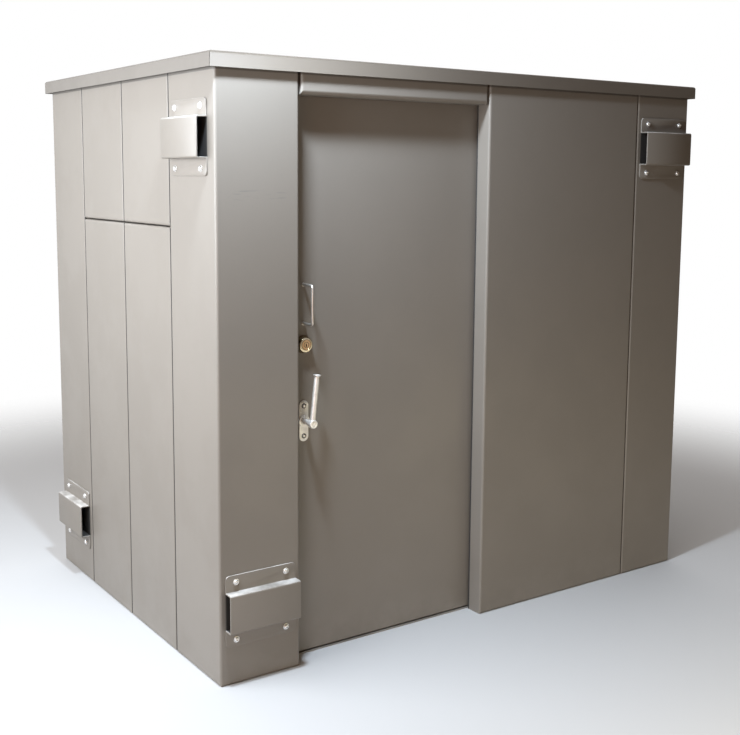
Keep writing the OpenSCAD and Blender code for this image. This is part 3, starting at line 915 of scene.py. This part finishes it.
def wallMatrix(outward, place):
    # local Z points out of the wall, local Y points up
    out, up = Vector(outward), Vector((0, 0, 1))
    along = up.cross(out)
    return Matrix((
        (along.x, up.x, out.x, place[0]),
        (along.y, up.y, out.y, place[1]),
        (along.z, up.z, out.z, place[2]),
        (0, 0, 0, 1)))


def placeCopies(source, name, outward, spots, finish, body):
    # one joined piece from copies of the source, each at its place and turned by its degrees
    copies = []
    for place, degrees in spots:
        turn = Matrix.Rotation(math.radians(degrees), 4, "Z")
        copies.append(copyPiece(source, name, wallMatrix(outward, place) @ turn))
    dress(joinPieces(copies, name), materials[finish], body)


outwards = {"front": (0, -1, 0), "right": (1, 0, 0), "rear": (0, 1, 0), "left": (-1, 0, 0)}


def addCoverBolts(look):
    bolt = makeCoverBolt(look)
    for node in sorted(cadNodes):
        if not node.startswith("vent_"):
            continue
        side = node.split("_")[1]
        out = Vector(outwards[side])
        low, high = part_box(node)
        middle = (low + high) / 2
        depth = abs((high - low).dot(out))
        flangeFace = middle - out * (depth / 2 - look["flange"])
        along = Vector((0, 0, 1)).cross(out)
        spots = []
        for sx in (-1, 1):
            for sz in (-1, 1):
                place = flangeFace + along * sx * look["spacingAlong"] / 2
                place.z += sz * look["spacingUp"] / 2
                spots.append((place, look["turns"][0] * sx + look["turns"][1] * sz))
        placeCopies(bolt, "coverBolts." + node[5:], out, spots, "boltZinc", "shell")
    bpy.data.objects.remove(bolt)


addCoverBolts(coverBolt)
print("cover bolts placed")

# bolts that hold the folded edges of the panels together, inside

seamBolt = {
    "sheet": 0.0035,
    "fromFace": 0.042,
    "headRadius": 0.0098,
    "headHeight": 0.0064,
    "washerRadius": 0.0105,
    "washerHeight": 0.0020,
    "nutRadius": 0.0098,
    "nutHeight": 0.0080,
    "threadRadius": 0.0050,
    "threadPast": 0.0040,
    "heights": (0.16, 0.58, 1.00, 1.42, 1.80),
    "lowHeights": (0.16, 0.70, 1.24),
    "highHeights": (1.55, 1.80),
    "headFace": (0.0016, 0.0006),
    "washerEdge": 0.0004,
    "nutFace": (0.0016, 0.0007),
    "threadEdge": 0.0008,
    "turn": 23,
}


def makeSeamBolt(look):
    sheet = look["sheet"]
    washer = makeWasher(look, sheet)
    head = addDisc(look["headRadius"], look["headHeight"], sheet + look["washerHeight"], 6)
    startEditing(head)
    insetFaces(isTop, look["headFace"])
    stopEditing()
    return finishBolt(look, [washer, head], -sheet, "seamBolt")


def addSeamBolts(look):
    bolt = makeSeamBolt(look)
    seams = []
    for side in ("left", "right"):
        out = Vector(outwards[side])
        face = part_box(f"{side}_lower_front")[0 if side == "left" else 1].x
        for level, heights in (("lower", look["lowHeights"]), ("upper", look["highHeights"])):
            front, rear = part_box(f"{side}_{level}_front"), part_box(f"{side}_{level}_rear")
            for spot, y in enumerate((front[0].y, front[1].y, rear[1].y)):
                place = Vector((face, y, 0)) - out * look["fromFace"]
                seams.append((f"{side}.{level}.{spot}", place, (0, 1, 0), heights))
    low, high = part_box("front_panel")
    seams.append(("front", Vector((high.x, low.y + look["fromFace"], 0)), (1, 0, 0), look["heights"]))
    left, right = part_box("rear_panel_left"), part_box("rear_panel_right")
    for spot, x in enumerate((left[0].x, left[1].x, right[1].x)):
        place = Vector((x, left[1].y - look["fromFace"], 0))
        seams.append((f"rear.{spot}", place, (1, 0, 0), look["heights"]))
    for name, place, axis, heights in seams:
        spots = [((place.x, place.y, height), look["turn"] * spot) for spot, height in enumerate(heights)]
        placeCopies(bolt, "seamBolts." + name, axis, spots, "boltZinc", "shell")
    bpy.data.objects.remove(bolt)


addSeamBolts(seamBolt)
print("seam bolts placed")

# lever, outside and inside

leverLook = {
    "length": 0.160,
    "barRadius": 0.009,
    "lean": 6.5,
    "bossRadius": 0.014,
    "bossLength": 0.022,
    "discRadius": 0.0075,
    "neckRadius": 0.009,
    "neckEnd": 0.0577,
    "flareRadius": 0.0125,
    "flareLength": 0.006,
    "spindleRadius": 0.006,
    "bossEdge": 0.0022,
    "bossBackEdge": 0.0012,
    "discGroove": (0.0012, -0.0013),     # inset and depth
    "discRise": (0.0010, 0.0010),
    "neckInBoss": 0.004,
    "neckEdge": 0.0006,
    "lip": 0.0012,
    "lipInset": 0.0016,
    "lipGroove": (0.0008, -0.0008),
    "lipEdge": 0.0004,
}
facingRear = (math.radians(90), 0, 0)
joints = {joint["name"]: joint for joint in frame["joints"]}
leverAxis = Vector(joints["lever_turn"]["pos_m"])


def makeLever(look, front):
    # the boss starts at y = front and runs towards +y, like the CAD lever
    x, z = leverAxis.x, leverAxis.z
    length = look["bossLength"]
    boss = addCylinder(look["bossRadius"], length, (x, front + length / 2, z), facingRear, 40)
    startEditing(boss)
    bevelEdges(lambda place: place.y < front + edgeSlack, look["bossEdge"], 4)
    border = look["bossRadius"] - look["bossEdge"] - look["discRadius"]
    insetFaces(lambda face: face.normal.y < -levelFace, (border, 0), look["discGroove"], look["discRise"])
    bevelEdges(lambda place: place.y > front + length - edgeSlack, look["bossBackEdge"], 2)
    stopEditing()
    neckLength = look["neckEnd"] - length + look["neckInBoss"]
    neckMiddle = front + look["neckEnd"] - neckLength / 2
    neck = addCylinder(look["neckRadius"], neckLength, (x, neckMiddle, z), facingRear, 36)
    roundEdges(neck, look["neckEdge"])
    barTop = look["length"] - look["flareLength"]
    bar = addDisc(look["barRadius"], barTop, sides=40)
    flareHeight = look["flareLength"] - look["lip"]
    flare = addCone(look["barRadius"], look["flareRadius"], flareHeight,
                    (0, 0, barTop + flareHeight / 2), sides=40)
    startEditing(flare)
    pick("FACE", isTop)
    bpy.ops.mesh.extrude_region_move(TRANSFORM_OT_translate={"value": (0, 0, look["lip"])})
    insetFaces(isTop, (look["lipInset"], 0), look["lipGroove"])
    stopEditing()
    roundEdges(flare, look["lipEdge"])
    stem = joinPieces([bar, flare], "leverStem")
    stem.data.transform(Matrix.Translation((x, front + length / 2, z))
                        @ Matrix.Rotation(math.radians(look["lean"]), 4, "Y"))
    return [boss, neck, stem]


def addLevers(look):
    front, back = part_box("lever_handle")
    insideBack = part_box("inner_lever")[1].y
    outside = makeLever(look, front.y)
    spindleStart = front.y + look["bossLength"]
    spindlePlace = (leverAxis.x, (back.y + spindleStart) / 2, leverAxis.z)
    spindle = addCylinder(look["spindleRadius"], back.y - spindleStart, spindlePlace, facingRear, 24)
    lever = joinPieces([*outside, spindle], "leverOutside")
    smooth(lever, 35)
    flip = (Matrix.Translation((0, insideBack, 0)) @ Matrix.Diagonal((1, -1, 1, 1))
            @ Matrix.Translation((0, -front.y, 0)))
    inside = joinPieces(makeLever(look, front.y), "leverInsideSource")
    smooth(inside, 35)
    mirrored = copyPiece(inside, "leverInside", flip)
    bpy.data.objects.remove(inside)
    smooth(mirrored, 35)
    for piece in (lever, mirrored):
        dress(piece, materials["satinNickel"], "lever")
    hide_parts("lever_handle")
    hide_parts("inner_lever")


addLevers(leverLook)

# bushing that the neck of each lever turns in

plateDepth = 0.004
bushingLook = {"radius": 0.0132, "height": 0.0060, "bore": 0.0096, "edge": 0.0014}


def addBushings(look):
    height = look["height"]
    ring = addDisc(look["radius"], height, sides=40)
    cutAway(ring, addCylinder(look["bore"], height * 3, (0, 0, height / 2), sides=36))
    roundEdges(ring, look["edge"], 3)
    smooth(ring, 35)
    seats = (("leverBushing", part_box("lever_plate")[1].y - plateDepth, -1),
             ("leverBushingInside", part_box("inner_lever_plate")[0].y + plateDepth, 1))
    for name, seat, side in seats:
        bushing = copyPiece(ring, name, wallMatrix((0, side, 0), (leverAxis.x, seat, leverAxis.z)))
        dress(bushing, materials["satinNickel"], "door")
    bpy.data.objects.remove(ring)


addBushings(bushingLook)
print("levers made")

# screws of the lever plates and hinges

plateScrew = {"radius": 0.0052, "height": 0.0030, "slotWidth": 0.0012, "slotDepth": 0.0010,
              "cupRadius": 0.0084, "cupHeight": 0.0006, "spacing": 0.100, "turns": (20, 51)}
hingeScrew = {"radius": 0.0044, "height": 0.0012, "slotWidth": 0.0010, "slotDepth": 0.0008,
              "cupRadius": 0.0052, "cupHeight": 0.0002, "turns": (15, 52, 89),
              "plateHalf": 0.051, "plateDepth": 0.003,
              # out from the pin, and up from the middle of the plate
              "spots": ((0.018, -0.034), (0.029, 0.0), (0.018, 0.034))}


# shares of the cup's border and of the head's size
screwShares = {"cupFlat": 0.5, "cupSlope": 0.4, "cupDeep": 0.8, "headRound": 0.8, "slotLength": 1.25}


def makeScrew(look):
    # raised head in a shallow cup, with a cross slot
    height, share = look["height"], screwShares
    cup = addDisc(look["cupRadius"], look["cupHeight"])
    border = look["cupRadius"] - look["radius"]
    slope = (border * share["cupSlope"], -look["cupHeight"] * share["cupDeep"])
    startEditing(cup)
    insetFaces(isTop, (border * share["cupFlat"], 0), slope)
    stopEditing()
    head = addDisc(look["radius"], height)
    roundTop(head, height, height * share["headRound"], 4)
    for turn in (0, 90):
        size = (look["radius"] * share["slotLength"], look["slotWidth"], look["slotDepth"] * 2)
        cutAway(head, addBlock(size, (0, 0, height), (0, 0, math.radians(turn))))
    for piece in (cup, head):
        smooth(piece, 32)
    return cup, head


def addPlateScrews(look):
    cup, head = makeScrew(look)
    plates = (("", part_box("lever_plate"), -1), ("Inside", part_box("inner_lever_plate"), 1))
    # the cups take the painted shade finish, the heads bright zinc
    finishes = ((cup, "leverPlateShadedCups", "screwCupShade"), (head, "leverPlateScrews", "boltZinc"))
    for ending, (low, high), side in plates:
        seat = high.y - plateDepth if side < 0 else low.y + plateDepth
        middle = (low + high) / 2
        spots = [((middle.x, seat, middle.z + step * look["spacing"]), degrees)
                 for step, degrees in zip((-0.5, 0.5), look["turns"])]
        for source, name, finish in finishes:
            placeCopies(source, name + ending, (0, side, 0), spots, finish, "door")
    for source in (cup, head):
        bpy.data.objects.remove(source)


def addHingeScrews(look):
    screw = joinPieces(list(makeScrew(look)), "screw")
    hinge = joints["door_hinge"]["pos_m"]
    low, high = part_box("hinge_frame_plates")
    leafLow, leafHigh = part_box("door_leaf")
    middles = (low.z + look["plateHalf"], (leafLow.z + leafHigh.z) / 2, high.z - look["plateHalf"])
    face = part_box("hinge_post")[1].y + look["plateDepth"]
    for name, body, side in (("hingeScrews.frame", "shell", 1), ("hingeScrews.door", "door", -1)):
        spots = [((hinge[0] + side * dx, face, middle + dz), degrees)
                 for middle in middles for (dx, dz), degrees in zip(look["spots"], look["turns"])]
        placeCopies(screw, name, (0, 1, 0), spots, "boltZinc", body)
    bpy.data.objects.remove(screw)


addPlateScrews(plateScrew)
addHingeScrews(hingeScrew)
print("screws placed")

# lock cylinder

cylinderLook = {
    "footRadius": 0.030,
    "rimRadius": 0.024,
    "collar": 0.018,
    "rimWidth": 0.0022,
    "coreRadius": 0.0216,
    "coreOut": 0.002,
    "ringRadius": 0.0165,
    "plugRadius": 0.0085,
    "keyHeight": 0.0100,
    "keyWidth": 0.0036,
    "keyDrop": 0.0030,
    "keyDeep": 0.004,
    "collarEdge": 0.0016,
    "collarStep": (0.0008, -0.0016),
    "coreBack": 0.001,
    "coreEdge": 0.0008,
    "groove": (0.0005, -0.0006),
    "rise": (0.0003, 0.0005),
}


def addLockCylinder(look):
    low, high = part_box("lock_cylinder")
    middle = (low + high) / 2
    height = look["collar"]
    collar = addCone(look["footRadius"], look["rimRadius"], height, (0, 0, height / 2), sides=56)
    roundTop(collar, height, look["collarEdge"], 4)
    startEditing(collar)
    step = look["collarStep"]
    insetFaces(isTop, (look["rimWidth"] - step[0], 0), step)
    stopEditing()
    front, back = height + look["coreOut"], look["coreBack"]
    core = addDisc(look["coreRadius"], front - back, back, 48)
    roundTop(core, front, look["coreEdge"], 3)
    steps = []
    reach = look["coreRadius"] - look["coreEdge"]
    for radius in (look["ringRadius"], look["plugRadius"]):
        steps += [(reach - radius, 0), look["groove"], look["rise"]]
        reach = radius - look["groove"][0] - look["rise"][0]
    startEditing(core)
    insetFaces(isTop, *steps)
    stopEditing()
    size = (look["keyWidth"], look["keyHeight"], look["keyDeep"] * 2)
    cutAway(core, addBlock(size, (0, -look["keyDrop"] / 2, front)))
    for piece in (collar, core):
        piece.data.transform(wallMatrix((0, -1, 0), (middle.x, high.y, middle.z)))
        smooth(piece, 32)
    dress(collar, materials["collarBrass"], "door")
    dress(core, materials["lockBrass"], "door")
    collar.name, core.name = "lockCollar", "lockCore"
    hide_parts("lock_cylinder")


addLockCylinder(cylinderLook)

# pull handle, one round bar bent twice

pullLook = {"radius": 0.0045, "bend": 0.010, "footRadius": 0.0062, "footHeight": 0.0016, "footEdge": 0.0005,
            "sides": 20, "bendSteps": 8}


def addPull(look):
    low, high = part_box("pull_handle")
    middle = (low + high) / 2
    face = high.y
    barY = low.y + look["radius"]
    topZ = high.z - look["radius"]
    bottomZ = low.z + look["radius"]
    clearSelection()
    bpy.ops.mesh.primitive_circle_add(vertices=look["sides"], radius=look["radius"],
                                      location=(middle.x, face, topZ), rotation=facingRear)
    bar = bpy.context.object
    settle(bar)
    startEditing(bar)
    pick("EDGE", lambda e: True)
    bend = look["bend"]
    bendY = barY + bend
    runs = ((bendY - face, 0, topZ - bend), (0, bottomZ - topZ + 2 * bend, bottomZ + bend))
    for stepY, stepZ, centerZ in runs:
        bpy.ops.mesh.extrude_edges_move(TRANSFORM_OT_translate={"value": (0, stepY, stepZ)})
        bpy.ops.mesh.spin(steps=look["bendSteps"], angle=math.radians(-90), axis=(1, 0, 0),
                          center=(middle.x, bendY, centerZ))
    bpy.ops.mesh.extrude_edges_move(TRANSFORM_OT_translate={"value": (0, face - bendY, 0)})
    bpy.ops.mesh.select_all(action="SELECT")
    bpy.ops.mesh.remove_doubles(threshold=mergeGap)
    pick("EDGE", lambda e: e.is_boundary)
    bpy.ops.mesh.fill_holes(sides=0)
    bpy.ops.mesh.select_all(action="SELECT")
    bpy.ops.mesh.normals_make_consistent(inside=False)
    stopEditing()
    feet = []
    for z in (topZ, bottomZ):
        height = look["footHeight"]
        foot = addCylinder(look["footRadius"], height, (middle.x, face - height / 2, z), facingRear, 24)
        roundEdges(foot, look["footEdge"])
        feet.append(foot)
    pull = joinPieces([bar, *feet], "pullBar")
    smooth(pull, 40)
    dress(pull, materials["handleSteel"], "door")
    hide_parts("pull_handle")


addPull(pullLook)
print("lock and pull made")
